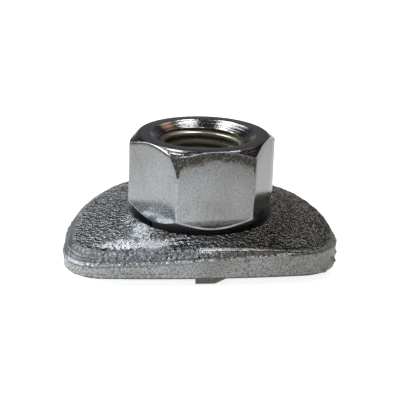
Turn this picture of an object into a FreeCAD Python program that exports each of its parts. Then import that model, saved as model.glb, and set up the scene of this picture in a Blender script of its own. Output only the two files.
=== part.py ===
"""Wheel nut with a captive clamp plate.

The nut is a hexagon nut with a conical seat. Its neck passes through the
half-round clamp plate and is rolled out below it, so the nut turns freely
in the plate and can't be lost. All sizes are in millimetres. +Z is the
thread axis, Z = 0 is the plate's underside, -Y is the plate's clamping edge.
"""
import FreeCAD
import Part
import math
import os

V = FreeCAD.Vector

# nut: hexagon and thread
across_flats = 30.0
nut_top_z = 26.0
nut_turn_deg = 6.0
hex_edge_radius = 0.8
thread_diameter = 20.0
thread_pitch = 2.0
top_face_radius = 14.9
top_chamfer_deg = 36.0
countersink_radius = 12.0
countersink_half_deg = 60.0
tail_countersink_radius = 10.9

# nut: conical seat, neck and rolled lip
seat_deg = 43.0
seat_gap = 1.89
neck_radius = 11.5
lip_radius = 13.2
lip_thickness = 1.6
lip_gap = 0.3
lip_round = 0.6

# clamp plate: outline seen from above
half_width = 30.75
hole_offset_x = 1.05
side_end_y = -5.0
back_y = 32.3
front_y = -22.95
front_edge_radius = 270.0
corner_radius = 9.6

# clamp plate: height
parting_z = 4.3
parting_tilt_deg = 3.2
flash_width = 0.2
flash_height = 0.3
band_deg = 60.0
top_slope_deg = 7.5
dish_rim_z = 7.7
shoulder_deg = 35.0
shoulder_z = 6.0
foot_chamfer = 0.4

# clamp plate: conical dish and hole
dish_radius = 16.6
hole_radius = 11.95
hole_chamfer = 0.6

# clamp plate: locating lug under the clamping edge
lug_left_x = -3.2
lug_right_x = 4.9
lug_flat_width = 4.6
lug_drop = 1.6
lug_setback = 1.2
lug_length = 4.5


def revolved(points):
    """Solid turned about the Z axis from a list of (radius, z) points."""
    wire = Part.makePolygon([V(r, 0, z) for r, z in points + points[:1]])
    return Part.Face(wire).revolve(V(0, 0, 0), V(0, 0, 1), 360)


def hexagon_prism(flats, low_z, high_z, edge_radius):
    """Hexagon bar with slightly rounded corners, one corner on the X axis."""
    corner = flats / math.sqrt(3.0)
    points = []
    for k in range(7):
        angle = math.radians(60.0 * k)
        points.append(V(corner * math.cos(angle), corner * math.sin(angle), low_z))
    bar = Part.Face(Part.makePolygon(points)).extrude(V(0, 0, high_z - low_z))
    upright = [e for e in bar.Edges if abs(e.BoundBox.ZLength) > 0.5 * (high_z - low_z)]
    return bar.makeFillet(edge_radius, upright)


def build_nut():
    flat_radius = across_flats / 2.0
    rim = flat_radius * 1.25
    seat = math.tan(math.radians(seat_deg))
    top = math.tan(math.radians(top_chamfer_deg))
    sink = math.tan(math.radians(countersink_half_deg))
    bore_radius = thread_diameter / 2.0 - 0.5413 * thread_pitch
    tail_z = -lip_gap - lip_thickness

    # turned outline: lip, neck, conical seat, hexagon height, top chamfer
    seat_z = dish_rim_z + seat_gap - (dish_radius - flat_radius) * seat
    neck_top_z = seat_z - (flat_radius - neck_radius) * seat
    turned = revolved([
        (0, tail_z),
        (lip_radius - lip_round, tail_z),
        (lip_radius, tail_z + lip_round),
        (lip_radius, -lip_gap - lip_round),
        (lip_radius - lip_round, -lip_gap),
        (neck_radius, -lip_gap),
        (neck_radius, neck_top_z),
        (rim, seat_z + (rim - flat_radius) * seat),
        (rim, nut_top_z - (rim - top_face_radius) * top),
        (top_face_radius, nut_top_z),
        (0, nut_top_z),
    ])
    bar = hexagon_prism(across_flats, tail_z - 1.0, nut_top_z + 1.0, hex_edge_radius)
    body = turned.common(bar)

    # thread bore at the minor diameter with a wide countersink at each end
    sink_z = nut_top_z - (countersink_radius - bore_radius) / sink
    tail_sink_z = tail_z + (tail_countersink_radius - bore_radius) / sink
    bore = revolved([
        (0, tail_z - 1.0),
        (tail_countersink_radius + sink, tail_z - 1.0),
        (bore_radius, tail_sink_z),
        (bore_radius, sink_z),
        (countersink_radius + sink, nut_top_z + 1.0),
        (0, nut_top_z + 1.0),
    ])
    body = body.cut(bore)
    body.rotate(V(0, 0, 0), V(0, 0, 1), nut_turn_deg)
    return body


def arc(centre, radius, start, end):
    """Arc in a level plane from one angle to another, in radians."""
    points = []
    for angle in (start, (start + end) / 2.0, end):
        points.append(centre + V(radius * math.cos(angle), radius * math.sin(angle), 0))
    return Part.Arc(*points).toShape()


def plate_outline(z, grow):
    """Half-round outline at height z, grown outwards by a distance.

    Anticlockwise: bulging sides and a rounder back as three tangent arcs,
    short straight sides, corners and the slightly convex clamping edge.
    """
    middle = -hole_offset_x
    depth = back_y - side_end_y
    back_radius = half_width - (depth - half_width) / 2.0
    back_centre = back_y - back_radius
    rise = back_centre - side_end_y
    side_radius = half_width ** 2 + rise ** 2 - back_radius ** 2
    side_radius = side_radius / (2.0 * (half_width - back_radius))
    turn = math.atan2(rise, side_radius - half_width)

    corner_x = half_width - corner_radius
    reach = front_edge_radius - corner_radius
    lean = math.asin(corner_x / reach)
    corner_y = front_y + front_edge_radius - reach * math.cos(lean)

    side_offset = side_radius - half_width
    side = half_width + grow
    edges = [
        arc(V(middle - side_offset, side_end_y, z), side_radius + grow, 0, turn),
        arc(V(middle, back_centre, z), back_radius + grow, turn, math.pi - turn),
        arc(V(middle + side_offset, side_end_y, z), side_radius + grow, math.pi - turn, math.pi),
        Part.makeLine(V(middle - side, side_end_y, z), V(middle - side, corner_y, z)),
        arc(V(middle - corner_x, corner_y, z), corner_radius + grow, math.pi, 1.5 * math.pi - lean),
        arc(
            V(middle, front_y + front_edge_radius, z),
            front_edge_radius + grow,
            1.5 * math.pi - lean,
            1.5 * math.pi + lean,
        ),
        arc(V(middle + corner_x, corner_y, z), corner_radius + grow, 1.5 * math.pi + lean, 2.0 * math.pi),
        Part.makeLine(V(middle + side, corner_y, z), V(middle + side, side_end_y, z)),
    ]
    return Part.Wire(edges)


def tapered(start_z, inset, lean, tall):
    """Prism whose sides lean inwards, passing start_z at the given inset."""
    low_z = -4.0
    rise = tall - low_z
    outline = plate_outline(low_z, (start_z - low_z) / lean - inset)
    prism = Part.Face(outline).extrude(V(0, 0, rise))
    rim = [e for e in prism.Edges if e.BoundBox.ZMin > tall - 0.01]
    prism = prism.makeChamfer(rise - 0.01, (rise - 0.01) / lean, rim)
    prism.rotate(V(0, 0, parting_z), V(0, 1, 0), -parting_tilt_deg)
    return prism


def build_plate():
    seat = math.tan(math.radians(seat_deg))
    band = math.tan(math.radians(band_deg))
    shoulder = math.tan(math.radians(shoulder_deg))
    slope = math.tan(math.radians(top_slope_deg))
    tall = dish_rim_z + 4.0

    # upright wall, steep band and eased shoulder above the parting line, which
    # climbs a little from left to right
    body = Part.Face(plate_outline(0, -flash_width)).extrude(V(0, 0, tall))
    band_inset = 1.5 * flash_width
    shoulder_inset = band_inset + (shoulder_z - parting_z) / band
    body = body.common(tapered(parting_z, band_inset, band, tall))
    body = body.common(tapered(shoulder_z, shoulder_inset, shoulder, tall))

    # flash left standing out along the parting line by the trimming die
    reach = 2.0 * half_width
    slab = Part.makeBox(2.0 * reach, 2.0 * reach, flash_height, V(-reach, -reach, parting_z - flash_height))
    slab.rotate(V(0, 0, parting_z), V(0, 1, 0), -parting_tilt_deg)
    flash = Part.Face(plate_outline(0, 0)).extrude(V(0, 0, tall)).common(slab)
    body = body.fuse(flash)

    # gently falling top face round the dish
    crown = revolved([
        (0, -1.0),
        (reach, -1.0),
        (reach, dish_rim_z - (reach - dish_radius) * slope),
        (dish_radius, dish_rim_z),
        (0, dish_rim_z),
    ])
    body = body.common(crown)
    foot = [e for e in body.Edges if e.BoundBox.ZMax < 0.01]
    body = body.makeChamfer(foot_chamfer, foot)

    # locating lug: square left end, bottom running out to the right
    lug_y = front_y + lug_setback
    lug_points = [
        (lug_left_x, 1.0),
        (lug_left_x, -lug_drop),
        (lug_left_x + lug_flat_width, -lug_drop),
        (lug_right_x, 0.0),
        (lug_right_x, 1.0),
    ]
    lug_wire = Part.makePolygon([V(x, lug_y, z) for x, z in lug_points + lug_points[:1]])
    lug = Part.Face(lug_wire).extrude(V(0, lug_length, 0))
    body = body.fuse(lug).removeSplitter()

    # conical dish for the nut's seat, and the hole for its neck
    hole_top_z = dish_rim_z - (dish_radius - hole_radius) * seat
    dish = revolved([
        (0, -1.0),
        (hole_radius + hole_chamfer + 1.0, -1.0),
        (hole_radius, hole_chamfer),
        (hole_radius, hole_top_z),
        (dish_radius + 2.0, dish_rim_z + 2.0 * seat),
        (0, dish_rim_z + 2.0 * seat),
    ])
    return body.cut(dish)


nut = build_nut()
clamp_plate = build_plate()

os.makedirs("parts", exist_ok=True)
for node, shape in (("nut", nut), ("clamp_plate", clamp_plate)):
    solid = shape.Solids[0]
    print(node, "solids", len(shape.Solids), "valid", solid.isValid(), "volume", round(solid.Volume))
    solid.exportStep("parts/" + node + ".step")
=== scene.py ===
"""A wheel nut held captive in a half-round forged clamp plate, both zinc plated."""
import math

import bmesh
import bpy
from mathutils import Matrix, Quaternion, Vector, noise


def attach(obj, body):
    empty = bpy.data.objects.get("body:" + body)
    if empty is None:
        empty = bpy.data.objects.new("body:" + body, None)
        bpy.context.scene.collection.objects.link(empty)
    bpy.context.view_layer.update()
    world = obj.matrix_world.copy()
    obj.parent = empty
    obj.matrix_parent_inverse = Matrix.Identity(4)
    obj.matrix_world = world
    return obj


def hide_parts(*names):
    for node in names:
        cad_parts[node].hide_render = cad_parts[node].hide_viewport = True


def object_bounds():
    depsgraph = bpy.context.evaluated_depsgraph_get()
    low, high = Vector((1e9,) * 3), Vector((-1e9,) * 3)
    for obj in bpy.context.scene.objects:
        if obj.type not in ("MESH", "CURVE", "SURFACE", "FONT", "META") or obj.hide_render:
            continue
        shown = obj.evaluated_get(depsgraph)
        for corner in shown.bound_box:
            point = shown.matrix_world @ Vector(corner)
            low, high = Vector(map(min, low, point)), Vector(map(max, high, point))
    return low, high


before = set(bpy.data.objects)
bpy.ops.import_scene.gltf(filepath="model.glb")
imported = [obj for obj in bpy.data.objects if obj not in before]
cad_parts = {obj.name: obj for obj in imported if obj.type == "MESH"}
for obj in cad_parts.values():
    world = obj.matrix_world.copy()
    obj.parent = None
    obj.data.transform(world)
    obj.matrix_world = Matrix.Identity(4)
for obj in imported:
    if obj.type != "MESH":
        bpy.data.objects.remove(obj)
cad_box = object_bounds()


# Clamp plate. Drop-forged steel, half-round, trimmed along a parting line that
# climbs from left to right, then shot blasted and zinc plated. Its long edge
# presses the rim, and the nut turns in its coned dish.

MM = 0.001

# outline seen from above, in millimetres as all sizes here
HALF_WIDTH, MIDDLE_X = 30.75, -1.05
SIDE_END_Y, BACK_Y = -5.0, 32.3
FRONT_Y, FRONT_RADIUS, CORNER_RADIUS = -22.95, 270.0, 9.6
POINT_SPACING = 0.27

# section: upright wall, flash, steep band, gently falling crown, coned dish, hole
PARTING_Z, PARTING_RISE = 4.3, 0.056
WALL_INSET, LEDGE_INSET = 0.22, 0.38
FLASH_HEIGHT, FLASH_WIDTH, FLASH_TAPER = 0.16, 0.20, 0.0028
BAND_SLOPE = math.tan(math.radians(58.0))
FRONT_BAND_SLOPE = math.tan(math.radians(66.0))
TOP_SLOPE = math.tan(math.radians(7.5))
FRONT_FALL, DOME = 0.11, 0.22
DISH_RADIUS, DISH_RIM_Z = 16.6, 7.7
SEAT_SLOPE = math.tan(math.radians(43.0))
HOLE_RADIUS = 11.95

# lug under the long edge: its ends, flat length, drop, setback and how far it goes
# in, and half the run of its square end and of its front and back faces
LUG_LEFT, LUG_RIGHT, LUG_FLAT, LUG_DROP = -3.2, 4.9, 4.6, 1.6
LUG_SETBACK, LUG_LENGTH = 1.2, 4.5
LUG_END_RUN, LUG_FACE_RUN = 0.03, 0.05

# patches the blasting has hardly bitten: (x, y, half length, half width, how smooth)
SMOOTH_PATCHES = (
    (-19.5, -18.6, 5.4, 2.5, 0.80),
    (-12.0, -18.8, 6.0, 2.2, 0.82),
    (-14.5, -13.0, 2.6, 4.5, 0.75),
    (-17.5, -8.0, 2.2, 3.6, 0.65),
    (-22.0, -8.0, 2.0, 3.0, 0.40),
)

# torn bits of flash left by trimming: (x, y, z, radius, how far it stands out)
BURRS = (
    (-30.3, -17.2, 1.1, 1.1, 0.55),
    (-29.0, -18.9, 0.6, 0.9, 0.50),
    (-26.5, -20.8, 0.5, 0.7, 0.30),
    (29.0, -15.3, 2.6, 1.1, 0.45),
    (27.8, -17.9, 1.6, 1.9, 0.90),
    (25.5, -20.1, 0.6, 1.2, 0.80),
)


def parting_height(x):
    """Height of the trimmed parting line across the plate."""
    return PARTING_Z + PARTING_RISE * x


def smooth_step(value):
    """Eased 0 to 1."""
    value = min(1.0, max(0.0, value))
    return value * value * (3.0 - 2.0 * value)


def arc_points(centre, radius, start, end):
    """Points along an arc about POINT_SPACING apart, without its last one."""
    count = max(2, round(abs(end - start) * radius / POINT_SPACING))
    angles = [start + (end - start) * k / count for k in range(count)]
    return [(centre[0] + radius * math.cos(a), centre[1] + radius * math.sin(a)) for a in angles]


def straight_points(start, end):
    """Points along a line about POINT_SPACING apart, without its last one."""
    count = max(2, round(math.dist(start, end) / POINT_SPACING))
    steps = [k / count for k in range(count)]
    return [(start[0] + (end[0] - start[0]) * t, start[1] + (end[1] - start[1]) * t) for t in steps]


def front_edge_y(x):
    """Where the long clamping edge runs at x."""
    return FRONT_Y + FRONT_RADIUS - math.sqrt(FRONT_RADIUS ** 2 - (x - MIDDLE_X) ** 2)


def plate_outline():
    """Points round the plate: bulging sides, rounder back, corners and long edge."""
    back_radius = HALF_WIDTH - (BACK_Y - SIDE_END_Y - HALF_WIDTH) / 2.0
    back_centre = BACK_Y - back_radius
    rise = back_centre - SIDE_END_Y
    side_radius = HALF_WIDTH ** 2 + rise ** 2 - back_radius ** 2
    side_radius = side_radius / (2.0 * (HALF_WIDTH - back_radius))
    offset = side_radius - HALF_WIDTH
    turn = math.atan2(rise, offset)
    corner_x = HALF_WIDTH - CORNER_RADIUS
    reach = FRONT_RADIUS - CORNER_RADIUS
    lean = math.asin(corner_x / reach)
    corner_y = FRONT_Y + FRONT_RADIUS - reach * math.cos(lean)
    down = 1.5 * math.pi
    left, right = MIDDLE_X - HALF_WIDTH, MIDDLE_X + HALF_WIDTH
    points = arc_points((MIDDLE_X - offset, SIDE_END_Y), side_radius, 0.0, turn)
    points += arc_points((MIDDLE_X, back_centre), back_radius, turn, math.pi - turn)
    points += arc_points((MIDDLE_X + offset, SIDE_END_Y), side_radius, math.pi - turn, math.pi)
    points += straight_points((left, SIDE_END_Y), (left, corner_y))
    points += arc_points((MIDDLE_X - corner_x, corner_y), CORNER_RADIUS, math.pi, down - lean)
    points += arc_points((MIDDLE_X, FRONT_Y + FRONT_RADIUS), FRONT_RADIUS, down - lean, down + lean)
    points += arc_points((MIDDLE_X + corner_x, corner_y), CORNER_RADIUS, down + lean, 2.0 * math.pi)
    points += straight_points((right, corner_y), (right, SIDE_END_Y))
    lug_x = (LUG_LEFT - LUG_END_RUN, LUG_LEFT + LUG_END_RUN, LUG_LEFT + LUG_FLAT, LUG_RIGHT)
    lug_points = [(x, front_edge_y(x)) for x in lug_x]
    apart = 0.1
    points = [p for p in points if all(math.dist(p, q) > apart for q in lug_points)] + lug_points
    points.sort(key=lambda p: math.atan2(p[1], p[0]))
    return points


def rounded_section(corners):
    """A section of straight runs between corners, all rounded but the first and last.

    Each corner is (across, height, rounding, steps round it, parts of the run after it)."""
    run, parts = [], []
    for k, (across, height, rounding, steps, after) in enumerate(corners):
        around = [(across, height)]
        if 0 < k < len(corners) - 1:
            corner = Vector((across, height))
            to_before = Vector(corners[k - 1][:2]) - corner
            to_after = Vector(corners[k + 1][:2]) - corner
            angle = to_before.angle(to_after, math.pi)
            reach = rounding / max(math.tan(angle / 2.0), 1e-6)
            reach = min(reach, 0.48 * to_before.length, 0.48 * to_after.length)
            first = corner + to_before.normalized() * reach
            last = corner + to_after.normalized() * reach
            share = [j / steps for j in range(steps + 1)]
            around = [tuple(first.lerp(corner, t).lerp(corner.lerp(last, t), t)) for t in share]
        run += around
        parts += [1] * (len(around) - 1) + [after]
    section = [run[0]]
    for start, end, count in zip(run, run[1:], parts):
        for j in range(1, count + 1):
            t = j / count
            section.append((start[0] + (end[0] - start[0]) * t, start[1] + (end[1] - start[1]) * t))
    return section


def lug_depth(x, y):
    """How far the lug reaches down: square at the left, running out at the right."""
    if y >= 0.0 or x < LUG_LEFT or x > LUG_RIGHT:
        return 0.0
    return LUG_DROP * min(1.0, (LUG_RIGHT - x) / (LUG_RIGHT - LUG_LEFT - LUG_FLAT))


def flash_width(x, y):
    """How far the trimmed flash stands out from the wall: uneven, widest at the left."""
    along = Vector((x, y, 0.0))
    uneven = 0.5 + 0.9 * noise.noise(along / 1.7) + 0.5 * noise.noise(along / 0.6)
    return (FLASH_WIDTH - FLASH_TAPER * x) * min(1.2, max(0.15, uneven))


def along_front(x, y):
    """One along the middle of the long edge, nothing at its corners and behind the axis."""
    return smooth_step((28.0 - abs(x)) / 9.0) * smooth_step(-y / 20.0)


def shoulder_rounding(x, y):
    """Rounding between band and crown: larger up the left side and at both front corners."""
    left_side = smooth_step((-x - 8.0) / 20.0) * smooth_step((y + 22.0) / 8.0)
    left_front = smooth_step((-x - 11.0) / 6.0) * along_front(x, y)
    return 0.9 + 2.7 * left_side + (1.4 * smooth_step((x - 16.0) / 9.0) + 1.2 * left_front)


def plate_column(x, y):
    """Section of the plate on the line from its outline to the axis, closed on itself.

    Each point is (distance in from the outline, height)."""
    outer = math.hypot(x, y)
    front = along_front(x, y)
    fall = FRONT_FALL * max(0.0, -y - DISH_RADIUS) * front
    crown = DISH_RIM_Z - (outer - DISH_RADIUS) * TOP_SLOPE - fall
    top_slope = (DISH_RIM_Z - crown) / (outer - DISH_RADIUS)
    band_slope = BAND_SLOPE + (FRONT_BAND_SLOPE - BAND_SLOPE) * front
    part = min(parting_height(x), crown - 0.35) + 0.05 * noise.noise(Vector((x, y, 9.0)) / 0.8)
    flash = flash_width(x, y)
    bead = (FLASH_HEIGHT + flash) * (1.0 + 0.25 * noise.noise(Vector((x, y, 4.0)) / 0.9))
    band_run = (crown + LEDGE_INSET * top_slope - part - bead) / (band_slope - top_slope)
    ridge = LEDGE_INSET + band_run
    ridge_z = part + bead + band_run * band_slope
    inner = outer - HOLE_RADIUS
    hole_top = DISH_RIM_Z - (DISH_RADIUS - HOLE_RADIUS) * SEAT_SLOPE
    lug = -lug_depth(x, y)
    lug_end = LUG_SETBACK + LUG_LENGTH
    section = rounded_section([
        (0.62 * inner, 0.0, 0.0, 0, 2),
        (lug_end + LUG_FACE_RUN, 0.0, 0.01, 1, 1),
        (lug_end - LUG_FACE_RUN, lug, 0.01, 1, 2),
        (LUG_SETBACK + LUG_FACE_RUN, lug, 0.01, 1, 1),
        (LUG_SETBACK - LUG_FACE_RUN, 0.0, 0.01, 1, 2),
        (WALL_INSET, 0.0, 0.2, 4, 13),
        (WALL_INSET, part - 0.10, 0.03, 1, 1),
        (WALL_INSET - flash, part - 0.02, 0.04, 2, 1),
        (LEDGE_INSET, part + bead, 0.1, 2, 6),
        (ridge, ridge_z, shoulder_rounding(x, y), 9, 44),
        (outer - DISH_RADIUS, DISH_RIM_Z, 0.45, 4, 12),
        (inner, hole_top, 0.3, 2, 5),
        (inner, 0.0, 0.5, 2, 3),
        (0.8 * inner, 0.0, 0.0, 0, 0),
    ])
    top_run = max(0.1, outer - DISH_RADIUS - ridge)
    dome = DOME * (1.0 - 0.6 * front)
    domed = []
    for inset, z in section:
        t = min(1.0, max(0.0, (inset - ridge) / top_run))
        domed.append((inset, z + dome * 4.0 * t * (1.0 - t)))
    return domed


def make_plate():
    """Mesh of the plate, one section for each point of the outline."""
    mesh = bmesh.new()
    inset_layer = mesh.verts.layers.float.new("inset")
    columns = []
    for x, y in plate_outline():
        outer = math.hypot(x, y)
        column = []
        for inset, z in plate_column(x, y):
            scale = (outer - inset) / outer
            vertex = mesh.verts.new((x * scale, y * scale, z))
            vertex[inset_layer] = inset
            column.append(vertex)
        columns.append(column)
    rows = len(columns[0])
    for first, second in zip(columns, columns[1:] + columns[:1]):
        for k in range(rows):
            j = (k + 1) % rows
            mesh.faces.new((first[k], second[k], second[j], first[j]))
    mesh.normal_update()
    return mesh


def left_rim(place, inset):
    """One along the left rim, where the steel ran out into the flash."""
    return smooth_step((3.2 - inset) / 1.2) * smooth_step((-place.x - 20.0) / 5.0)


def long_ridge(place, inset):
    """One along the ridge behind the long edge, from its middle to the right, where the skin is
    smoothed and a highlight is painted.
    """
    ridge = smooth_step(1.6 - abs(inset - 1.35) / 0.32) * smooth_step((place.x + 4.0) / 3.0)
    thinner, fading = smooth_step((place.x - 10.0) / 4.0), smooth_step((place.x - 18.0) / 6.0)
    gaps = 1.25 - 0.5 * thinner - 0.9 * fading
    gaps += 0.5 * noise.noise(place / 0.8)
    return min(1.0, max(0.0, ridge * gaps))


def smooth_patches(place, inset):
    """How far the skin keeps the die's smoothness in the patches that the blasting has spared."""
    smooth = 0.0
    for x, y, length, width, amount in SMOOTH_PATCHES:
        far = math.hypot((place.x - x) / length, (place.y - y) / width)
        far += 0.5 * noise.noise(place / 1.6)
        smooth = max(smooth, amount * smooth_step(1.8 * (1.15 - far)))
    return smooth * smooth_step((inset - 0.9) / 0.4)


def worn_smooth(place, inset):
    """How smooth the blasted skin is: patches, the left rim and the ridge behind the long edge."""
    rim = (0.6 + 0.25 * smooth_step((place.y + 15.0) / 4.0)) * left_rim(place, inset)
    return max(smooth_patches(place, inset), rim, 0.95 * long_ridge(place, inset))


def blasted(vertex, inset):
    """How far blasting and forging scale have pushed the skin in or out at a vertex."""
    place = vertex.co
    r = math.hypot(place.x, place.y)
    rough = 1.0 - worn_smooth(place, inset)
    swell = (0.02 + 0.07 * rough) * noise.noise(place / 8.0 + Vector((0, 5, 0)))
    swell += 0.09 * rough * noise.noise(place / 2.8)
    if place.z < 0.25 or r < DISH_RADIUS - 0.2:
        return -0.02
    if abs(vertex.normal.z) < 0.25:
        return 0.5 * swell + 0.022 * noise.noise(place / 0.8) - 0.03
    coined = 0.25 + 0.75 * smooth_step((r - DISH_RADIUS - 0.4) / 2.6)
    dimple = noise.voronoi(place / 0.85)[0][0]
    lumps = (0.13 + 0.06 * smooth_step(place.x / 10.0)) * (dimple - 0.45) * rough
    return (swell + lumps) * coined - 0.06


def wall_shade_and_shear_line(place):
    """Painted shade on the trimmed wall under the flash and at the foot and the lug, and a dark
    line where the die sheared.
    """
    x, z = place.x, place.z
    under_flash = 1.0 - abs(z - parting_height(x) + 0.25) / 0.25
    at_foot = (0.5 - z) / 0.35 + 0.4 * noise.noise(place / 0.9)
    sheared = smooth_step(1.0 - abs(z - 1.1 - 0.02 * (x + 20.0)) / 0.18)
    sheared *= smooth_step((-x - 4.0) / 5.0)
    sheared *= 0.5 + 0.6 * noise.noise(place / 1.2)
    return 0.85 * smooth_step(max(under_flash, at_foot, sheared))


def skin_veins_and_shade(place, inset, worn):
    """Dark places on the blasted skin: thin veins, and painted shade on the steep band and the left
    rim.
    """
    vein = smooth_step(1.0 - abs(noise.noise(place / 4.5 + Vector((3, 0, 0)))) / 0.10)
    vein *= smooth_step(0.8 + 1.5 * noise.noise(place / 6.0)) * (1.0 - worn)
    on_band = smooth_step((1.5 - inset) / 0.4) * smooth_step(-place.y / 18.0)
    return max(0.8 * vein, 0.32 * on_band, 0.35 * left_rim(place, inset))


def flash_glint(place, inset):
    """Painted glints in patches on the trimmed top of the flash."""
    beside, reach = abs(inset - 0.2), 0.28
    above = abs(place.z - parting_height(place.x) - FLASH_HEIGHT)
    patchy = min(1.0, max(0.1, 0.8 + 1.2 * noise.noise(place / 0.7)))
    return patchy * smooth_step(1.5 - beside / reach - above / reach)


plate_mesh = make_plate()
plate_layers = plate_mesh.verts.layers.float
plate_inset = plate_layers["inset"]
plate_worn = plate_layers.new("worn")
plate_dull = plate_layers.new("dull")
plate_highlight_and_bare = plate_layers.new("highlight_and_bare")
for vertex in plate_mesh.verts:
    place, inset = vertex.co, vertex[plate_inset]
    if place.z > parting_height(place.x) - 0.05:
        vertex[plate_worn] = worn_smooth(place, inset)
        vertex[plate_dull] = 0.20 * left_rim(place, inset) - 0.08 * long_ridge(place, inset)
        # the ridge and the smooth patches get painted highlights
        vertex[plate_highlight_and_bare] = max(long_ridge(place, inset), 0.28 * smooth_patches(place, inset))
moves = [(v, v.normal * blasted(v, v[plate_inset])) for v in plate_mesh.verts]
for vertex, move in moves:
    vertex.co += move
for x, y, z, radius, height in BURRS:
    outward = Vector((x, y, 0.0)).normalized()
    for vertex in plate_mesh.verts:
        far = (vertex.co - Vector((x, y, z))).length / radius
        if far < 1.0 and abs(vertex.normal.z) < 0.8:
            ragged = 0.6 + 0.8 * noise.noise(vertex.co / 0.5)
            vertex.co += outward * height * smooth_step(1.0 - far) * ragged

# soil, painted shade and painted glints, then every point kept a hair inside the solids' box
plate_soil_and_shade = plate_layers.new("soiled_and_shaded")
low = Vector(cad_box[0]) / MM
high = Vector(cad_box[1]) / MM
hair = 0.005
for vertex in plate_mesh.verts:
    place, inset = vertex.co, vertex[plate_inset]
    if math.hypot(place.x, place.y) > DISH_RADIUS:
        # painted shade on the wall and on the band and rim, and painted glints on the flash
        if abs(vertex.normal.z) < 0.6:
            vertex[plate_soil_and_shade] = wall_shade_and_shear_line(place)
        if place.z > parting_height(place.x) + 0.4:
            vertex[plate_soil_and_shade] = skin_veins_and_shade(place, inset, vertex[plate_worn])
        vertex[plate_highlight_and_bare] = max(vertex[plate_highlight_and_bare], flash_glint(place, inset))
    for k in range(3):
        vertex.co[k] = min(high[k] - hair, max(low[k] + hair, vertex.co[k]))
    vertex.co *= MM
plate_mesh.normal_update()

# blasted above the parting line, sheared wall below it, turned dish and plain underside
BLASTED, TRIMMED, DISH = 0, 1, 2
for face in plate_mesh.faces:
    face.smooth = True
    middle = face.calc_center_median() / MM
    if math.hypot(middle.x, middle.y) < DISH_RADIUS - 0.1 or middle.z < 0.02:
        face.material_index = DISH
    elif middle.z < parting_height(middle.x) - 0.05:
        face.material_index = TRIMMED
    else:
        face.material_index = BLASTED
for edge in plate_mesh.edges:
    if edge.calc_face_angle(0.0) > math.radians(50):
        edge.smooth = False
plate_data = bpy.data.meshes.new("clamp_plate_forging")
plate_mesh.to_mesh(plate_data)
plate_mesh.free()
plate = bpy.data.objects.new("clamp_plate_forging", plate_data)
bpy.context.scene.collection.objects.link(plate)


def new_group(name, inputs, outputs):
    """An empty shader node group with its sockets: {name: (type, default)}."""
    group = bpy.data.node_groups.new(name, "ShaderNodeTree")
    for socket, (kind, value) in inputs.items():
        made = group.interface.new_socket(socket, in_out="INPUT", socket_type=kind)
        if value is not None:
            made.default_value = value
    for socket, kind in outputs.items():
        group.interface.new_socket(socket, in_out="OUTPUT", socket_type=kind)
    return group, group.nodes.new("NodeGroupInput"), group.nodes.new("NodeGroupOutput")


def maths(tree, operation, first, second=None, third=None):
    """A Math node whose inputs are sockets or numbers."""
    node = tree.nodes.new("ShaderNodeMath")
    node.operation = operation
    for socket, value in zip(node.inputs, (first, second, third)):
        if value is None:
            continue
        if isinstance(value, (int, float)):
            socket.default_value = value
        else:
            tree.links.new(value, socket)
    return node.outputs[0]


def blend(tree, mask, first, second):
    """A Mix node between two colours by a mask."""
    node = tree.nodes.new("ShaderNodeMix")
    node.data_type = "RGBA"
    tree.links.new(mask, node.inputs[0])
    tree.links.new(first, node.inputs[6])
    tree.links.new(second, node.inputs[7])
    return node.outputs[2]


def spread(tree, value, low, high):
    """Stretches a value so that low becomes 0 and high becomes 1."""
    node = tree.nodes.new("ShaderNodeMapRange")
    node.inputs["From Min"].default_value = low
    node.inputs["From Max"].default_value = high
    tree.links.new(value, node.inputs["Value"])
    return node.outputs["Result"]


def noise_value(tree, place, scale, detail=3.0, swirl=0.0):
    """A noise texture read at a place."""
    node = tree.nodes.new("ShaderNodeTexNoise")
    node.inputs["Detail"].default_value = detail
    node.inputs["Distortion"].default_value = swirl
    if isinstance(scale, (int, float)):
        node.inputs["Scale"].default_value = scale
    else:
        tree.links.new(scale, node.inputs["Scale"])
    tree.links.new(place, node.inputs["Vector"])
    return node.outputs["Fac"]


def stretched(tree, place, by):
    """A place stretched by a different amount along each axis."""
    node = tree.nodes.new("ShaderNodeVectorMath")
    node.operation = "MULTIPLY"
    node.inputs[1].default_value = by
    tree.links.new(place, node.inputs[0])
    return node.outputs[0]


# Zinc tone: bluer and lighter to the left, more olive and darker to the right, in patches,
# partly the passivated zinc's tint and partly painted light and shade; then fine mottling, small
# dark specks, painted shade in the pits, and soil, painted shade and painted highlights as painted
# on the mesh.
zinc_tone, tone_in, tone_out = new_group(
    "zinc_tone",
    {
        "Place": ("NodeSocketVector", None),
        "Patch Scale": ("NodeSocketFloat", 120.0),
        "Mottle Scale": ("NodeSocketFloat", 1500.0),
        "Mottle": ("NodeSocketFloat", 0.2),
        "Lit Blue Zinc": ("NodeSocketColor", (0.5, 0.52, 0.56, 1)),
        "Shaded Olive Zinc": ("NodeSocketColor", (0.5, 0.5, 0.46, 1)),
        "Dark Zinc": ("NodeSocketColor", (0.15, 0.14, 0.12, 1)),
        "Specks": ("NodeSocketFloat", 0.4),
        "Pits": ("NodeSocketFloat", 0.0),
        "Soil And Shade": ("NodeSocketFloat", 0.0),
        "Highlight And Bare": ("NodeSocketFloat", 0.0),
        "Highlight And Bare Zinc": ("NodeSocketColor", (0.75, 0.76, 0.77, 1)),
    },
    {"Color": "NodeSocketColor"},
)
given = tone_in.outputs
patches = noise_value(zinc_tone, given["Place"], given["Patch Scale"], 2.0)
split = zinc_tone.nodes.new("ShaderNodeSeparateXYZ")
zinc_tone.links.new(given["Place"], split.inputs[0])
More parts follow.
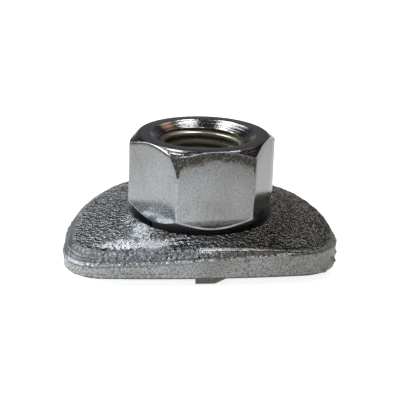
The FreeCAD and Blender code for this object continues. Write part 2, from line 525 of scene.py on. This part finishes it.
# painted light to the left and painted shade to the right, over the zinc's blue and olive tints
olive_and_shade_to_right = maths(zinc_tone, "MULTIPLY_ADD", split.outputs["X"], 9.0, patches)
patch_mask = spread(zinc_tone, olive_and_shade_to_right, 0.33, 0.67)
patched = blend(zinc_tone, patch_mask, given["Lit Blue Zinc"], given["Shaded Olive Zinc"])
mottle = noise_value(zinc_tone, given["Place"], given["Mottle Scale"], 4.0)
mottle = spread(zinc_tone, mottle, 0.42, 0.72)
mottle = maths(zinc_tone, "MULTIPLY", mottle, given["Mottle"])
mottled = blend(zinc_tone, mottle, patched, given["Dark Zinc"])
uneven = noise_value(zinc_tone, given["Place"], 2200.0, 3.0)
uneven = maths(zinc_tone, "MULTIPLY_ADD", uneven, 1.6, 0.25)
soil_and_shade = maths(zinc_tone, "MULTIPLY", given["Soil And Shade"], uneven)
soil_and_shade = maths(zinc_tone, "MINIMUM", soil_and_shade, 1.0)
specks = noise_value(zinc_tone, given["Place"], 2600.0, 1.0)
specks = spread(zinc_tone, specks, 0.70, 0.76)
specks = maths(zinc_tone, "MULTIPLY", specks, given["Specks"])
darker = maths(zinc_tone, "MAXIMUM", specks, given["Pits"])
darker = maths(zinc_tone, "MAXIMUM", darker, soil_and_shade)
toned = blend(zinc_tone, darker, mottled, given["Dark Zinc"])
# painted highlights, with some bare wear, mixed in by the mesh's layer
rubbed_highlight = blend(zinc_tone, given["Highlight And Bare"], toned, given["Highlight And Bare Zinc"])
zinc_tone.links.new(rubbed_highlight, tone_out.inputs["Color"])

# Blast grain: overlapping dimples with a finer grain on them, with painted shade in their pits, and
# flattened where the mesh is worn smooth.
blast_grain, grain_in, grain_out = new_group(
    "blast_grain",
    {
        "Place": ("NodeSocketVector", None),
        "Dimple Scale": ("NodeSocketFloat", 1300.0),
        "Grain Scale": ("NodeSocketFloat", 3000.0),
        "Grain": ("NodeSocketFloat", 0.4),
        "Pit Shade": ("NodeSocketFloat", 0.0),
        "Worn": ("NodeSocketFloat", 0.0),
    },
    {"Height": "NodeSocketFloat", "Pits": "NodeSocketFloat"},
)
given = grain_in.outputs
dimples = blast_grain.nodes.new("ShaderNodeTexVoronoi")
dimples.feature = "SMOOTH_F1"
dimples.inputs["Smoothness"].default_value = 0.35
dimples.inputs["Randomness"].default_value = 1.0
blast_grain.links.new(given["Dimple Scale"], dimples.inputs["Scale"])
blast_grain.links.new(given["Place"], dimples.inputs["Vector"])
fine = noise_value(blast_grain, given["Place"], given["Grain Scale"], 3.0, 0.8)
fine = maths(blast_grain, "MULTIPLY", fine, given["Grain"])
height = maths(blast_grain, "ADD", dimples.outputs["Distance"], fine)
unworn = maths(blast_grain, "MULTIPLY_ADD", given["Worn"], -1.0, 1.0)
blast_grain.links.new(maths(blast_grain, "MULTIPLY", height, unworn), grain_out.inputs["Height"])
# painted shade in the pits of the dimples
pits = spread(blast_grain, height, 0.64, 0.34)
harder = noise_value(blast_grain, given["Place"], 330.0, 2.0)
pits = maths(blast_grain, "MULTIPLY", pits, spread(blast_grain, harder, 0.38, 0.60))
pits = maths(blast_grain, "MULTIPLY", pits, given["Pit Shade"])
pits = maths(blast_grain, "MULTIPLY", pits, unworn)
blast_grain.links.new(pits, grain_out.inputs["Pits"])


def painted(tree, layer):
    """A value painted on the mesh: soil and painted shade, painted highlights and bare places,
    worn, dull or inset.
    """
    node = tree.nodes.new("ShaderNodeAttribute")
    node.attribute_name = layer
    return node.outputs["Fac"]


def new_zinc(name, roughness, tone_values, grain_values, bump_metres):
    """A zinc material: metal shader, tone group for its colour, grain group for its bump."""
    material = bpy.data.materials.new(name)
    material.use_nodes = True
    tree = material.node_tree
    shader = tree.nodes["Principled BSDF"]
    shader.inputs["Metallic"].default_value = 1.0
    place = tree.nodes.new("ShaderNodeTexCoord").outputs["Object"]
    tone = tree.nodes.new("ShaderNodeGroup")
    tone.name, tone.node_tree = "tone", zinc_tone
    grain = tree.nodes.new("ShaderNodeGroup")
    grain.name, grain.node_tree = "grain", blast_grain
    for node, values in ((tone, tone_values), (grain, grain_values)):
        tree.links.new(place, node.inputs["Place"])
        for socket, value in values.items():
            node.inputs[socket].default_value = value
    tree.links.new(grain.outputs["Pits"], tone.inputs["Pits"])
    tree.links.new(painted(tree, "soiled_and_shaded"), tone.inputs["Soil And Shade"])
    tree.links.new(painted(tree, "highlight_and_bare"), tone.inputs["Highlight And Bare"])
    tree.links.new(painted(tree, "worn"), grain.inputs["Worn"])
    dull = maths(tree, "ADD", painted(tree, "dull"), roughness)
    tree.links.new(dull, shader.inputs["Roughness"])
    tree.links.new(tone.outputs["Color"], shader.inputs["Base Color"])
    bump = tree.nodes.new("ShaderNodeBump")
    bump.name = "bump"
    bump.inputs["Distance"].default_value = bump_metres
    tree.links.new(grain.outputs["Height"], bump.inputs["Height"])
    tree.links.new(bump.outputs["Normal"], shader.inputs["Normal"])
    return material


def lay_marks(material, group, values, depth, darkness):
    """Adds tool marks of a given depth and darkness to the grain that a material already has."""
    tree = material.node_tree
    tone, grain, bump = (tree.nodes[name] for name in ("tone", "grain", "bump"))
    marks = tree.nodes.new("ShaderNodeGroup")
    marks.node_tree = group
    place = tree.nodes.new("ShaderNodeTexCoord").outputs["Object"]
    tree.links.new(place, marks.inputs["Place"])
    for socket, value in values.items():
        marks.inputs[socket].default_value = value
    height = maths(tree, "MULTIPLY_ADD", marks.outputs["Height"], depth, grain.outputs["Height"])
    tree.links.new(height, bump.inputs["Height"])
    dark = maths(tree, "MULTIPLY", marks.outputs["Dark"], darkness)
    tree.links.new(maths(tree, "MAXIMUM", grain.outputs["Pits"], dark), tone.inputs["Pits"])
    return marks


# Lathe rings: fine circles about the thread axis, with a little chatter.
lathe_rings, rings_in, rings_out = new_group(
    "lathe_rings",
    {"Place": ("NodeSocketVector", None), "Ring Scale": ("NodeSocketFloat", 5000.0)},
    {"Height": "NodeSocketFloat", "Dark": "NodeSocketFloat"},
)
split = lathe_rings.nodes.new("ShaderNodeSeparateXYZ")
lathe_rings.links.new(rings_in.outputs["Place"], split.inputs[0])
squares = maths(lathe_rings, "MULTIPLY", split.outputs["X"], split.outputs["X"])
squares = maths(lathe_rings, "MULTIPLY_ADD", split.outputs["Y"], split.outputs["Y"], squares)
join = lathe_rings.nodes.new("ShaderNodeCombineXYZ")
lathe_rings.links.new(maths(lathe_rings, "SQRT", squares), join.inputs["X"])
lathe_rings.links.new(split.outputs["Z"], join.inputs["Y"])
turned = noise_value(lathe_rings, join.outputs[0], rings_in.outputs["Ring Scale"], 3.0)
chatter = noise_value(lathe_rings, rings_in.outputs["Place"], 1400.0, 3.0)
rings = maths(lathe_rings, "MULTIPLY_ADD", chatter, 0.12, turned)
lathe_rings.links.new(rings, rings_out.inputs["Height"])
lathe_rings.links.new(spread(lathe_rings, rings, 0.54, 0.68), rings_out.inputs["Dark"])

# Flow lines: fine drawn-out lines beside the rim, where the steel ran out into the
# flash. They change quickly with the distance from the rim and slowly along it.
flow_lines, flow_in, flow_out = new_group(
    "flow_lines",
    {"Place": ("NodeSocketVector", None), "Inset": ("NodeSocketFloat", 0.0)},
    {"Height": "NodeSocketFloat", "Dark": "NodeSocketFloat"},
)
along = stretched(flow_lines, flow_in.outputs["Place"], (60.0, 60.0, 0.0))
across = flow_lines.nodes.new("ShaderNodeCombineXYZ")
from_rim = maths(flow_lines, "MULTIPLY", flow_in.outputs["Inset"], 3.6)
flow_lines.links.new(from_rim, across.inputs["Z"])
drawn_out = flow_lines.nodes.new("ShaderNodeVectorMath")
flow_lines.links.new(along, drawn_out.inputs[0])
flow_lines.links.new(across.outputs[0], drawn_out.inputs[1])
lines = noise_value(flow_lines, drawn_out.outputs[0], 1.0, 2.0)
at_rim = spread(flow_lines, flow_in.outputs["Inset"], 3.4, 2.4)
dark_lines = maths(flow_lines, "MULTIPLY", spread(flow_lines, lines, 0.50, 0.62), at_rim)
flow_lines.links.new(dark_lines, flow_out.inputs["Dark"])
flow_lines.links.new(maths(flow_lines, "MULTIPLY", lines, at_rim), flow_out.inputs["Height"])

blasted_zinc = new_zinc(
    "blasted_zinc",
    0.17,
    {
        "Patch Scale": 55.0,
        "Mottle": 0.35,
        # lighter blue for the lit left, darker olive for the shaded right: tint with painted light
        # and shade
        "Lit Blue Zinc": (0.42, 0.435, 0.46, 1),
        "Shaded Olive Zinc": (0.28, 0.27, 0.245, 1),
        "Dark Zinc": (0.040, 0.040, 0.040, 1),
    },
    {"Dimple Scale": 1250.0, "Grain Scale": 2400.0, "Grain": 0.5, "Pit Shade": 1.0},
    0.00062,
)
flow_marks = lay_marks(blasted_zinc, flow_lines, {}, 0.8, 0.6)
tree = blasted_zinc.node_tree
tree.links.new(painted(tree, "inset"), flow_marks.inputs["Inset"])
tree.nodes["Principled BSDF"].inputs["Specular Tint"].default_value = (0.65, 0.65, 0.65, 1)
trimmed_zinc = new_zinc(
    "trimmed_zinc",
    0.36,
    {
        "Patch Scale": 70.0,
        "Mottle Scale": 2600.0,
        "Mottle": 0.85,
        # lighter blue for the lit left, darker olive for the shaded right: tint with painted light
        # and shade
        "Lit Blue Zinc": (0.65, 0.67, 0.67, 1),
        "Shaded Olive Zinc": (0.45, 0.45, 0.41, 1),
        "Dark Zinc": (0.07, 0.07, 0.06, 1),
    },
    {"Dimple Scale": 2300.0, "Grain Scale": 5200.0, "Grain": 0.9, "Pit Shade": 0.7},
    0.00022,
)
dish_zinc = new_zinc(
    "dish_zinc",
    0.34,
    {
        "Patch Scale": 90.0,
        "Mottle": 0.3,
        "Lit Blue Zinc": (0.34, 0.35, 0.37, 1),
        "Shaded Olive Zinc": (0.31, 0.31, 0.28, 1),
    },
    {"Dimple Scale": 900.0, "Grain Scale": 3000.0, "Grain": 0.4},
    0.00003,
)
lay_marks(dish_zinc, lathe_rings, {"Ring Scale": 3500.0}, 1.0, 0.3)
for material in (blasted_zinc, trimmed_zinc, dish_zinc):
    plate_data.materials.append(material)

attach(plate, "clamp_plate")
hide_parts("clamp_plate")


# Nut. Cold-formed steel hexagon, its ends, dish-shaped mouth, thread and coned
# seat turned, then bright zinc plated. Its neck goes down through the plate
# and is rolled out below it.

NUT_TURN = math.radians(5.95)

# hexagon: flats, top face and chamfer; the rounding of an upright edge grows near the
# top, most where forging left the corner short
FLAT_RADIUS = 15.0
NUT_TOP, FACE_RADIUS = 26.0, 14.9
CHAMFER_SLOPE = math.tan(math.radians(36.0))
EDGE_ROUNDING, TOP_ROUNDING, SHORT_ROUNDING = 0.45, 0.7, 4.6
SHORT_FROM_Z, SHORT_HEIGHT = 19.0, 6.0

# how short each corner is, anticlockwise from the right one
CORNERS_SHORT = (0.15, 0.3, 0.1, 0.35, 1.0, 0.2)

# seat, neck, rolled lip, and the countersinks at both ends
SEAT_Z = 8.1
NECK_RADIUS, LIP_RADIUS, LIP_TOP = 11.5, 13.2, -0.3
TAIL_Z, TAIL_MOUTH, MOUTH_RADIUS = -1.9, 10.9, 12.0
MOUTH_SLOPE = math.tan(math.radians(30.0))

# thread: radii, pitch, and what part of a pitch the crest, a flank and the root take
CREST_RADIUS, ROOT_RADIUS, PITCH = 8.9174, 10.0, 2.0
CREST_PART, FLANK_PART, ROOT_PART = 0.25, 0.3125, 0.125
THREAD_START_Z = -5.59
STEPS_PER_TURN = 16

# sections round the nut: as many on the few degrees round each corner as on each flat
SECTIONS, CORNER_DEG = 24, 8.0

# rows of a section, counted from the mouth down
MOUTH_EDGE, TOP_FACE, CHAMFER_EDGE = range(1, 5), range(5, 9), range(10, 12)
FLAT = range(12, 60)
SEAT_EDGE, SEAT_START = range(60, 66), 67

# materials of its faces: bright flats, turned ends and seat, thread
BRIGHT, TURNED, THREAD = 0, 1, 2

# soil and painted shade on each flat, anticlockwise from the right back one: depth of the
# soiled band under the chamfer edge, how much fades in below it, how much lies all over, and
# the painted dark reflection at the foot
FLATS_SOIL_AND_SHADE = (
    (0.5, 0.2, 0.05, 0.2),
    (0.7, 0.2, 0.1, 0.3),
    (0.5, 0.2, 0.05, 0.2),
    (0.45, 0.18, 0.03, 0.0),
    (1.6, 0.75, 0.05, 0.62),
    (0.3, 0.5, 0.42, 0.2),
)


def hexagon_radius(angle, z):
    """Distance from the axis to the hexagon's side, its corners rounded and short at the top."""
    short = CORNERS_SHORT[round(math.degrees(angle) / 60.0) % 6]
    rise = min(1.0, max(0.0, (z - SHORT_FROM_Z) / SHORT_HEIGHT))
    rounding = EDGE_ROUNDING + (TOP_ROUNDING + SHORT_ROUNDING * short) * rise ** 1.8
    half_flat = math.pi / 6
    off = (angle + half_flat) % (2 * half_flat) - half_flat
    inner = (FLAT_RADIUS - rounding) / math.cos(half_flat)
    touch = math.atan((FLAT_RADIUS - rounding) * math.tan(half_flat) / FLAT_RADIUS)
    if abs(off) > half_flat - touch:
        return FLAT_RADIUS / math.cos(half_flat - abs(off))
    return inner * math.cos(off) + math.sqrt(rounding ** 2 - (inner * math.sin(off)) ** 2)


def nearest_front(angle):
    """One at the front flat and nothing further round."""
    return smooth_step(1.5 - abs(math.degrees(angle) - 270.0) / 20.0)


def nut_column(angle):
    """Outer section of the nut at one angle, from the top of the thread down to the tail."""
    top_z = NUT_TOP - 1.0
    for _ in range(4):
        side = hexagon_radius(angle, top_z)
        top_z = NUT_TOP - (side - FACE_RADIUS) * CHAMFER_SLOPE
    low_z = SEAT_Z
    for _ in range(4):
        low_side = hexagon_radius(angle, low_z)
        low_z = SEAT_Z + (low_side - FLAT_RADIUS) * SEAT_SLOPE
    neck_z = SEAT_Z - (FLAT_RADIUS - NECK_RADIUS) * SEAT_SLOPE
    thread_end = ROOT_RADIUS + 0.1
    burr = 0.02 + 0.09 * nearest_front(angle)
    section = rounded_section([
        (thread_end, NUT_TOP - (MOUTH_RADIUS - thread_end) * MOUTH_SLOPE, 0.0, 0, 1),
        (MOUTH_RADIUS, NUT_TOP, 0.2, 3, 1),
        (FACE_RADIUS, NUT_TOP, 0.3, 3, 1),
        (side, top_z, 0.4, 3, len(FLAT)),
        (low_side, low_z + 0.22, 0.1, 2, 1),
        (low_side + burr, low_z + 0.08, 0.05, 2, 1),
        (low_side + 0.02, low_z - 0.03, 0.1, 2, 1),
        (NECK_RADIUS, neck_z, 0.4, 2, 1),
        (NECK_RADIUS, LIP_TOP, 0.3, 2, 1),
        (LIP_RADIUS, LIP_TOP, 0.6, 3, 1),
        (LIP_RADIUS, TAIL_Z, 0.6, 3, 1),
        (TAIL_MOUTH, TAIL_Z, 0.12, 2, 1),
        (thread_end, TAIL_Z + (TAIL_MOUTH - thread_end) * MOUTH_SLOPE, 0.0, 0, 0),
    ])
    for k in FLAT[1:]:
        r, z = section[k]
        section[k] = (min(r, hexagon_radius(angle, z)), z)
    return section


def nut_angles():
    """Angles of the sections, closer together round the six corners."""
    angles = []
    near, between = 2.0 * CORNER_DEG, 60.0 - 2.0 * CORNER_DEG
    for corner in range(6):
        middle = corner * 60.0
        for start, span in ((middle - CORNER_DEG, near), (middle + CORNER_DEG, between)):
            angles += [math.radians(start + span * k / SECTIONS) for k in range(SECTIONS)]
    return angles


def thread_radius(phase):
    """Radius of the nut's thread at a place in its pitch, from 0 to 1."""
    phase = phase % 1.0
    depth = ROOT_RADIUS - CREST_RADIUS
    root_start = CREST_PART + FLANK_PART
    root_end = root_start + ROOT_PART
    if phase < CREST_PART:
        return CREST_RADIUS
    if phase < root_start:
        return CREST_RADIUS + depth * (phase - CREST_PART) / FLANK_PART
    if phase < root_end:
        return ROOT_RADIUS
    return ROOT_RADIUS - depth * (phase - root_end) / FLANK_PART


def wear_and_shade_flat(vertex, angle, z, top_z, soil_and_shade, highlight_and_bare):
    """Soil under the chamfer edge, darker in the short corner, a painted dark reflection at the
    foot; painted highlights, with some rubbing, on the upright edges.
    """
    band, fade, all_over, foot = FLATS_SOIL_AND_SHADE[int(math.degrees(angle) / 60.0) % 6]
    short = smooth_step((hexagon_radius(angle, SHORT_FROM_Z) - hexagon_radius(angle, z)) / 0.06)
    band = band * (1.0 + 0.3 * noise.noise(vertex.co / 2.5))
    banded = 0.68 * smooth_step(1.15 - 0.65 * (top_z - z) / band)
    banded = max(banded, 0.95 * smooth_step(1.5 - (top_z - z) / 0.22))
    fading = fade * math.exp((z - top_z) / 4.0)
    vertex[soil_and_shade] = min(0.95, max(banded, 0.95 * short) + fading + all_over)
    from_corner = abs((math.degrees(angle) + 30.0) % 60.0 - 30.0)
    # painted highlight along the upright edges, partly rubbed wear
    rubbed_highlight = 0.1 + 0.8 * noise.noise(vertex.co / 0.6)
    vertex[highlight_and_bare] = max(0.0, rubbed_highlight * smooth_step(1.3 - from_corner / 0.8) * (1.0 - short))
    # painted dark reflection at the foot of the flat
    vertex[soil_and_shade] = max(vertex[soil_and_shade], foot * smooth_step((10.5 - z) / 0.4))


def make_outside(mesh, angles, runs, soil_and_shade, highlight_and_bare, dull):
    """Outer skin of the nut, with its soil, wear, painted shade and painted highlights."""
    columns = []
    for angle, run in zip(angles, runs):
        turn = angle + NUT_TURN
        column = [mesh.verts.new((r * math.cos(turn), r * math.sin(turn), z)) for r, z in run]
        columns.append(column)
        for k in FLAT:
            wear_and_shade_flat(column[k], angle, run[k][1], run[FLAT[0]][1], soil_and_shade, highlight_and_bare)
        # painted highlights along the seat, mouth and chamfer edges; roughness on the top face and
        # the seat
        painted_rows = (
            (SEAT_EDGE, highlight_and_bare, 0.2 + 0.7 * nearest_front(angle)),
            (MOUTH_EDGE, highlight_and_bare, 0.6),
            (TOP_FACE, dull, 0.05),
            (CHAMFER_EDGE, highlight_and_bare, 0.55),
            (range(SEAT_START, len(column)), dull, 0.5),
        )
        for rows, layer, amount in painted_rows:
            for k in rows:
                column[k][layer] = amount
    for first, second in zip(columns, columns[1:] + columns[:1]):
        for k in range(len(first) - 1):
            face = mesh.faces.new((first[k], first[k + 1], second[k + 1], second[k]))
            face.material_index = BRIGHT if k in FLAT else TURNED


def make_inside(mesh, angles, high, low, soil_and_shade, highlight_and_bare):
    """Helical thread between the two countersinks: painted highlights on the crests, partly
    burnished, and painted shade in the roots.
    """
    levels = (int((high - low) / PITCH) + 4) * STEPS_PER_TURN
    columns = []
    for angle in angles + [angles[0] + 2.0 * math.pi]:
        lead = PITCH * (angle - angles[0]) / (2.0 * math.pi)
        turn = angle + NUT_TURN
        column = []
        for k in range(levels):
            z = THREAD_START_Z + k * PITCH / STEPS_PER_TURN + lead
            z = min(high, max(low, z))
            thread = thread_radius((z - lead - THREAD_START_Z) / PITCH)
            mouth = MOUTH_RADIUS - (NUT_TOP - z) / MOUTH_SLOPE
            tail = TAIL_MOUTH - (z - TAIL_Z) / MOUTH_SLOPE
            r = max(thread, mouth, tail)
            vertex = mesh.verts.new((r * math.cos(turn), r * math.sin(turn), z))
            # painted highlight on the crests, painted shade in the roots
            if r <= thread:
                deep = (thread - CREST_RADIUS) / (ROOT_RADIUS - CREST_RADIUS)
                vertex[highlight_and_bare] = 0.9 * smooth_step(1.0 - deep / 0.25)
                vertex[soil_and_shade] = 0.6 * smooth_step((deep - 0.5) / 0.5)
            column.append((vertex, r > thread))
        columns.append(column)
    for first, second in zip(columns, columns[1:]):
        for k in range(levels - 1):
            around = (first[k], second[k], second[k + 1], first[k + 1])
            face = mesh.faces.new([vertex for vertex, _ in around])
            face.material_index = TURNED if all(coned for _, coned in around) else THREAD


nut_mesh = bmesh.new()
nut_layers = nut_mesh.verts.layers.float
for layer in ("soiled_and_shaded", "highlight_and_bare", "dull"):
    nut_layers.new(layer)
nut_soil_and_shade, nut_highlight_and_bare, nut_dull = nut_layers["soiled_and_shaded"], nut_layers["highlight_and_bare"], nut_layers["dull"]
angles = nut_angles()
runs = [nut_column(a) for a in angles]
make_outside(nut_mesh, angles, runs, nut_soil_and_shade, nut_highlight_and_bare, nut_dull)
make_inside(nut_mesh, angles, runs[0][0][1], runs[0][-1][1], nut_soil_and_shade, nut_highlight_and_bare)
bmesh.ops.remove_doubles(nut_mesh, verts=nut_mesh.verts, dist=0.0005)
bmesh.ops.dissolve_degenerate(nut_mesh, edges=nut_mesh.edges, dist=0.0002)
bmesh.ops.recalc_face_normals(nut_mesh, faces=nut_mesh.faces)
for vertex in nut_mesh.verts:
    vertex.co *= MM
nut_mesh.normal_update()
for face in nut_mesh.faces:
    face.smooth = True
for edge in nut_mesh.edges:
    if len(edge.link_faces) == 2 and edge.calc_face_angle(0.0) > math.radians(24):
        edge.smooth = False
nut_data = bpy.data.meshes.new("hexagon_nut")
nut_mesh.to_mesh(nut_data)
nut_mesh.free()
nut = bpy.data.objects.new("hexagon_nut", nut_data)
bpy.context.scene.collection.objects.link(nut)

# Forming streaks: fine lines up and down the flats, left by the forging die.
forming_streaks, streaks_in, streaks_out = new_group(
    "forming_streaks",
    {"Place": ("NodeSocketVector", None), "Streak Scale": ("NodeSocketFloat", 4000.0)},
    {"Height": "NodeSocketFloat", "Dark": "NodeSocketFloat"},
)
given = streaks_in.outputs
upright = stretched(forming_streaks, given["Place"], (1.0, 1.0, 0.06))
lines = noise_value(forming_streaks, upright, given["Streak Scale"], 3.0)
forming_streaks.links.new(lines, streaks_out.inputs["Height"])
broken = noise_value(forming_streaks, given["Place"], 260.0, 2.0)
broken = spread(forming_streaks, broken, 0.45, 0.7)
dark_lines = maths(forming_streaks, "MULTIPLY", broken, spread(forming_streaks, lines, 0.5, 0.7))
forming_streaks.links.new(dark_lines, streaks_out.inputs["Dark"])

bright_zinc = new_zinc(
    "bright_zinc",
    0.15,
    {
        "Patch Scale": 60.0,
        "Mottle Scale": 4200.0,
        "Mottle": 0.5,
        # lighter blue for the lit left, darker olive for the shaded right: tint with painted light
        # and shade
        "Lit Blue Zinc": (0.49, 0.51, 0.52, 1),
        "Shaded Olive Zinc": (0.32, 0.325, 0.31, 1),
        "Dark Zinc": (0.055, 0.048, 0.040, 1),
    },
    {"Dimple Scale": 900.0, "Grain Scale": 2400.0, "Grain": 0.5},
    0.000006,
)
lay_marks(bright_zinc, forming_streaks, {}, 1.2, 0.5)
turned_zinc = new_zinc(
    "turned_zinc",
    0.12,
    {
        "Patch Scale": 140.0,
        "Mottle": 0.25,
        "Lit Blue Zinc": (0.40, 0.41, 0.44, 1),
        "Shaded Olive Zinc": (0.38, 0.375, 0.36, 1),
        "Dark Zinc": (0.10, 0.09, 0.085, 1),
    },
    {"Dimple Scale": 1800.0, "Grain Scale": 4200.0, "Grain": 0.5},
    0.000012,
)
lay_marks(turned_zinc, lathe_rings, {"Ring Scale": 2300.0}, 5.0, 0.85)
thread_zinc = new_zinc(
    "thread_zinc",
    0.3,
    {
        "Patch Scale": 140.0,
        "Mottle": 0.3,
        "Lit Blue Zinc": (0.62, 0.60, 0.50, 1),
        "Shaded Olive Zinc": (0.60, 0.58, 0.45, 1),
        "Dark Zinc": (0.10, 0.09, 0.06, 1),
    },
    {"Dimple Scale": 900.0, "Grain Scale": 2400.0, "Grain": 0.5},
    0.000006,
)
for material in (bright_zinc, turned_zinc, thread_zinc):
    nut_data.materials.append(material)

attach(nut, "nut")
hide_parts("nut")


# Setting. A white table in a dim room, with soft panels overhead and behind, a tall
# window at the left and two faint warm lights far behind. The camera looks from the
# photograph's place.

FLOOR_Z, TABLE_REACH = -1.95, 4.0
table_corners = ((-1, -1), (1, -1), (1, 1), (-1, 1))
floor_data = bpy.data.meshes.new("table")
floor_data.from_pydata(
    [(x * TABLE_REACH, y * TABLE_REACH, FLOOR_Z * MM) for x, y in table_corners], [], [(0, 1, 2, 3)]
)
floor = bpy.data.objects.new("table", floor_data)
bpy.context.scene.collection.objects.link(floor)

# white to the camera, paler in reflections, and still taking the part's shadow
table_white = bpy.data.materials.new("table_white")
table_white.use_nodes = True
tree = table_white.node_tree
shader = tree.nodes["Principled BSDF"]
shader.inputs["Base Color"].default_value = (0.8, 0.8, 0.8, 1)
shader.inputs["Roughness"].default_value = 0.9
shader.inputs["Specular IOR Level"].default_value = 0.0
shader.inputs["Emission Color"].default_value = (1, 1, 1, 1)
ray = tree.nodes.new("ShaderNodeLightPath")
mirrored = maths(tree, "MULTIPLY", ray.outputs["Is Glossy Ray"], 0.40)
seen = maths(tree, "MULTIPLY_ADD", ray.outputs["Is Camera Ray"], 0.8, mirrored)
tree.links.new(seen, shader.inputs["Emission Strength"])
floor_data.materials.append(table_white)

# lamps: (name, place, lean to the side in degrees, width, depth, watts, colour)
LAMPS = (
    ("ceiling_left", (-0.25, 0.27, 0.75), 0.0, 0.18, 0.28, 0.85, (1.0, 1.0, 1.0)),
    ("ceiling_right", (0.235, 0.21, 0.75), 0.0, 0.25, 0.16, 0.65, (1.0, 1.0, 1.0)),
    ("ceiling_near", (0.0, -0.28, 0.75), 0.0, 0.70, 0.28, 1.1, (0.97, 0.98, 1.0)),
    ("window_left", (-0.85, 0.10, 0.34), -70.0, 0.44, 0.48, 4.1, (0.93, 0.97, 1.0)),
    ("window_high", (-0.62, 0.26, 0.68), -42.0, 0.30, 0.34, 1.1, (0.95, 0.98, 1.0)),
    ("ceiling_far", (-0.125, 0.76, 0.75), 0.0, 0.27, 0.56, 1.4, (0.97, 0.99, 1.0)),
    ("warm_right", (0.50, 0.62, 0.75), 20.0, 0.20, 0.50, 0.10, (1.0, 0.70, 0.48)),
    ("warm_middle", (0.30, 0.80, 0.75), 0.0, 0.22, 0.40, 0.40, (1.0, 0.54, 0.38)),
)
for name, place, lean, width, depth, watts, color in LAMPS:
    lamp_data = bpy.data.lights.new(name, "AREA")
    lamp_data.shape = "RECTANGLE"
    lamp_data.size, lamp_data.size_y = width, depth
    lamp_data.energy = watts
    lamp_data.color = color
    lamp = bpy.data.objects.new(name, lamp_data)
    lamp.location = place
    lamp.rotation_euler = (0.0, math.radians(lean), 0.0)
    bpy.context.scene.collection.objects.link(lamp)

# room: pale near the horizon and dim higher up, with a pale wall on the near side;
# each shade is (how high the direction points, colour)
FAR_SHADES = (
    (0.02, (0.35, 0.36, 0.37, 1)),
    (0.16, (0.13, 0.13, 0.135, 1)),
    (0.34, (0.08, 0.08, 0.09, 1)),
    (0.5, (0.03, 0.03, 0.04, 1)),
    (1.0, (0.04, 0.04, 0.05, 1)),
)
NEAR_SHADES = (
    (0.05, (0.08, 0.08, 0.08, 1)),
    (0.35, (0.15, 0.15, 0.15, 1)),
    (0.6, (0.42, 0.42, 0.43, 1)),
    (0.75, (0.36, 0.36, 0.37, 1)),
    (0.95, (0.05, 0.05, 0.06, 1)),
)
world = bpy.data.worlds.new("room")
bpy.context.scene.world = world
world.use_nodes = True
tree = world.node_tree
split = tree.nodes.new("ShaderNodeSeparateXYZ")
tree.links.new(tree.nodes.new("ShaderNodeTexCoord").outputs["Generated"], split.inputs[0])


def wall_shade(shades):
    """Colour of the room by how high a direction points."""
    ramp = tree.nodes.new("ShaderNodeValToRGB")
    stops = ramp.color_ramp.elements
    stops[0].position, stops[0].color = shades[0]
    stops[1].position, stops[1].color = shades[-1]
    for height, color in shades[1:-1]:
        stops.new(height).color = color
    tree.links.new(split.outputs["Z"], ramp.inputs["Fac"])
    return ramp.outputs["Color"]


near_side = spread(tree, split.outputs["Y"], 0.0, -0.5)
both_sides = blend(tree, near_side, wall_shade(FAR_SHADES), wall_shade(NEAR_SHADES))
tree.links.new(both_sides, tree.nodes["Background"].inputs["Color"])

# camera, fitted to the corners of the hexagon in the photograph
CAMERA_PLACE, CAMERA_AIM = (-18.246, -178.246, 77.006), (-0.30, 0.0, 9.562)
CAMERA_ROLL, LENS, SENSOR = 1.635, 73.04, 36.0
camera_data = bpy.data.cameras.new("camera")
camera_data.sensor_width = SENSOR
camera_data.lens = LENS
camera = bpy.data.objects.new("camera", camera_data)
bpy.context.scene.collection.objects.link(camera)
bpy.context.scene.camera = camera
camera.location = Vector(CAMERA_PLACE) * MM
toward = Vector(CAMERA_AIM) * MM - camera.location
camera.rotation_mode = "QUATERNION"
roll = Quaternion((0, 0, 1), math.radians(CAMERA_ROLL))
camera.rotation_quaternion = toward.to_track_quat("-Z", "Y") @ roll

bpy.context.scene.view_settings.view_transform = "Standard"
